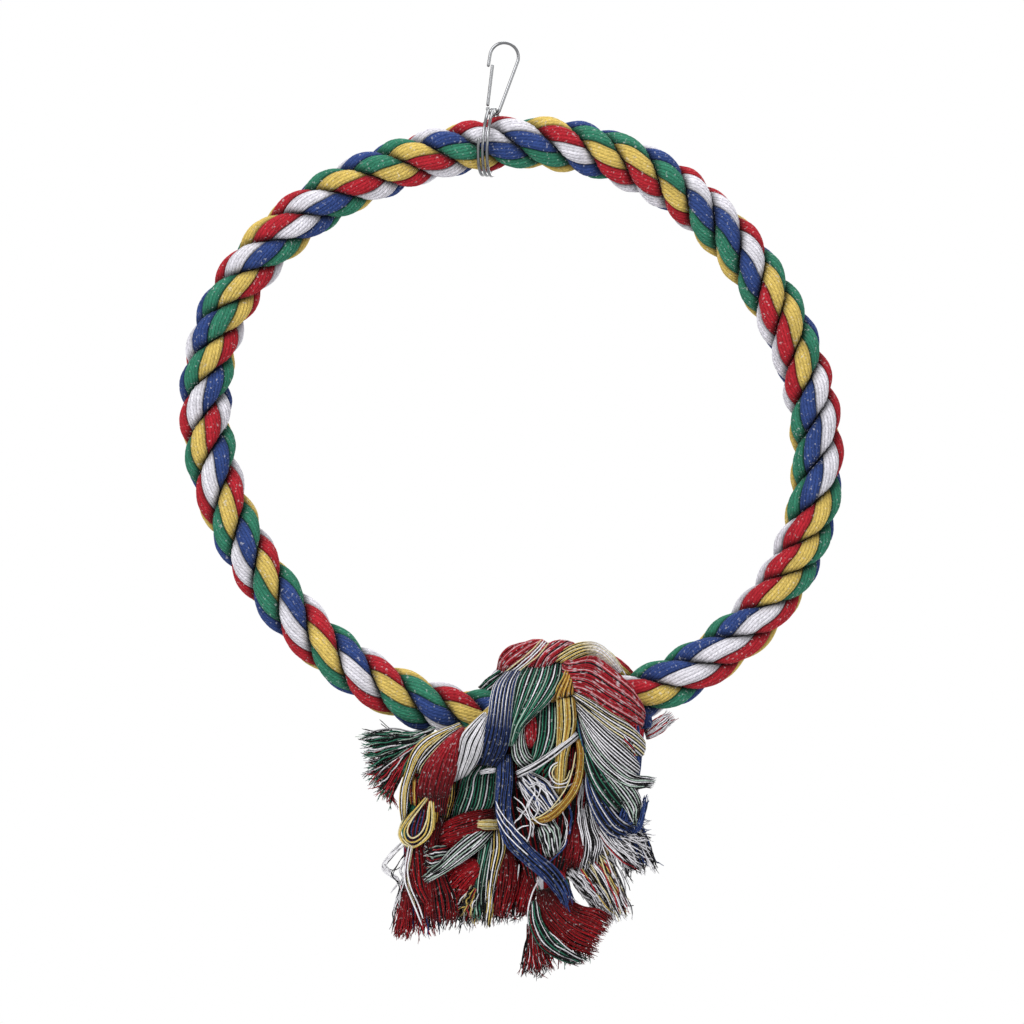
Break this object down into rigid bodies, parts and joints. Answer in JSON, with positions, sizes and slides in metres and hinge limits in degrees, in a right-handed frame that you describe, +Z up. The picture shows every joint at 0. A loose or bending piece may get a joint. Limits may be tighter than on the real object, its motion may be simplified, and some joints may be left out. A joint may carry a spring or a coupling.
{
  "type": "rope ring bird swing",
  "caption": "Ring perch of multicoloured laid cotton rope on a wire core, knotted at the bottom with frayed tassels, hung by a wire coil from a sprung wire clip.",
  "frame": {"origin": "where the inside of the clip's crown bears on the bar or hook that the swing hangs from", "axes": "+Z up, against gravity; +Y through the ring, towards the back; +X to the right in the plane of the ring"},
  "size_m": [0.246, 0.049, 0.3449],
  "materials": {
    "plated_wire": "bright nickel-plated wire",
    "core_steel": "plain drawn wire",
    "cotton_green": "matte twisted cotton yarn",
    "cotton_blue": "matte twisted cotton yarn",
    "cotton_red": "matte twisted cotton yarn",
    "cotton_yellow": "matte twisted cotton yarn",
    "cotton_white": "matte twisted cotton yarn"
  },
  "bodies": {
    "clip": {"clip_hook": "plated_wire"},
    "gate": {"clip_gate": "plated_wire"},
    "hanger": {"hanger_coil": "plated_wire"},
    "ring": {"rope_strand_1": "cotton_green", "rope_strand_2": "cotton_blue", "rope_strand_3": "cotton_red", "core_wire": "core_steel", "core_sleeve": "core_steel", "knot_left_wrap": "cotton_blue", "knot_right_wrap": "cotton_green", "knot_top_wrap": "cotton_red", "knot_middle_strand": "cotton_green", "knot_under_strand": "cotton_red", "knot_back_strand": "cotton_white", "tassel_left": "cotton_green", "tassel_lower_left": "cotton_red", "tassel_middle": "cotton_red", "tassel_bottom": "cotton_red", "tassel_lower_right": "cotton_white", "tassel_right": "cotton_blue", "loose_lock": "cotton_blue", "yarn_loop": "cotton_yellow"}
  },
  "joints": [
    {"name": "gate_spring", "type": "hinge", "parent": "clip", "child": "gate", "pos_m": [-0.00728, 0, -0.02281], "axis": [0, 1, 0], "range_deg": [0, 20], "stiffness_Nm_per_rad": 0.05},
    {"name": "hanger_sway", "type": "hinge", "parent": "clip", "child": "hanger", "pos_m": [-0.00504, 0, -0.02345], "axis": [0, 1, 0], "range_deg": [-45, 45]},
    {"name": "ring_swing", "type": "hinge", "parent": "hanger", "child": "ring", "pos_m": [-0.00725, 0, -0.03679], "axis": [0.999, 0, 0.0455], "range_deg": [-60, 60]}
  ]
}
